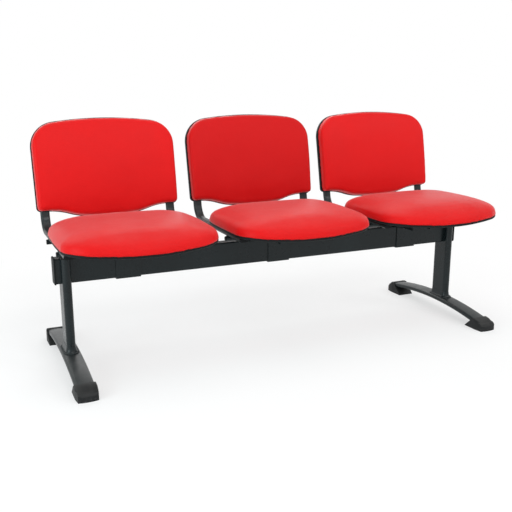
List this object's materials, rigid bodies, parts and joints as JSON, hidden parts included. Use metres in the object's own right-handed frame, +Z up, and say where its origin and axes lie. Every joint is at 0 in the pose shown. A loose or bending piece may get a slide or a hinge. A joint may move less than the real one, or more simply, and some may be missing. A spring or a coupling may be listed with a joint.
{
  "type": "beam seating",
  "caption": "Waiting-room bench: upholstered seats with curved backs in a row, clamped on a rectangular steel beam between two arched legs.",
  "frame": {"origin": "on the floor, midway between the two legs along the beam and midway between the front and rear extremes of the bench", "axes": "+X along the beam towards the sitter's left hand (the right end as seen from the front), +Y towards the backrests, +Z up"},
  "size_m": [1.54, 0.624, 0.7709],
  "materials": {
    "steel_black": "satin",
    "plastic_black": "satin",
    "screw_black": "satin",
    "zinc_steel": "satin",
    "plywood": "matte",
    "leatherette_red": "satin"
  },
  "bodies": {
    "root": {"beam": "steel_black", "beam_cap_left": "plastic_black", "upright_left": "steel_black", "upright_cap_left": "plastic_black", "foot_left": "steel_black", "foot_weld_left": "steel_black", "foot_glide_left_front": "plastic_black", "foot_glide_left_rear": "plastic_black", "beam_cap_right": "plastic_black", "upright_right": "steel_black", "upright_cap_right": "plastic_black", "foot_right": "steel_black", "foot_weld_right": "steel_black", "foot_glide_right_front": "plastic_black", "foot_glide_right_rear": "plastic_black", "leg_screws": "screw_black", "leg_screw_washers": "screw_black", "leg_nuts": "zinc_steel", "carrier_left": "steel_black", "clamp_saddle_left": "steel_black", "cross_tube_front_left": "steel_black", "cross_tube_rear_left": "steel_black", "side_tube_a_left": "steel_black", "side_tube_b_left": "steel_black", "seat_cover_left": "plastic_black", "back_cover_left": "plastic_black", "seat_board_left": "plywood", "back_panel_left": "plywood", "seat_cushion_left": "leatherette_red", "back_cushion_left": "leatherette_red", "carrier_middle": "steel_black", "clamp_saddle_middle": "steel_black", "cross_tube_front_middle": "steel_black", "cross_tube_rear_middle": "steel_black", "side_tube_a_middle": "steel_black", "side_tube_b_middle": "steel_black", "seat_cover_middle": "plastic_black", "back_cover_middle": "plastic_black", "seat_board_middle": "plywood", "back_panel_middle": "plywood", "seat_cushion_middle": "leatherette_red", "back_cushion_middle": "leatherette_red", "carrier_right": "steel_black", "clamp_saddle_right": "steel_black", "cross_tube_front_right": "steel_black", "cross_tube_rear_right": "steel_black", "side_tube_a_right": "steel_black", "side_tube_b_right": "steel_black", "seat_cover_right": "plastic_black", "back_cover_right": "plastic_black", "seat_board_right": "plywood", "back_panel_right": "plywood", "seat_cushion_right": "leatherette_red", "back_cushion_right": "leatherette_red", "clamp_bolts": "screw_black", "clamp_nuts": "zinc_steel", "cross_tube_plugs": "plastic_black", "side_tube_plugs": "plastic_black", "seat_screws": "screw_black", "back_screws": "screw_black"}
  },
  "joints": []
}
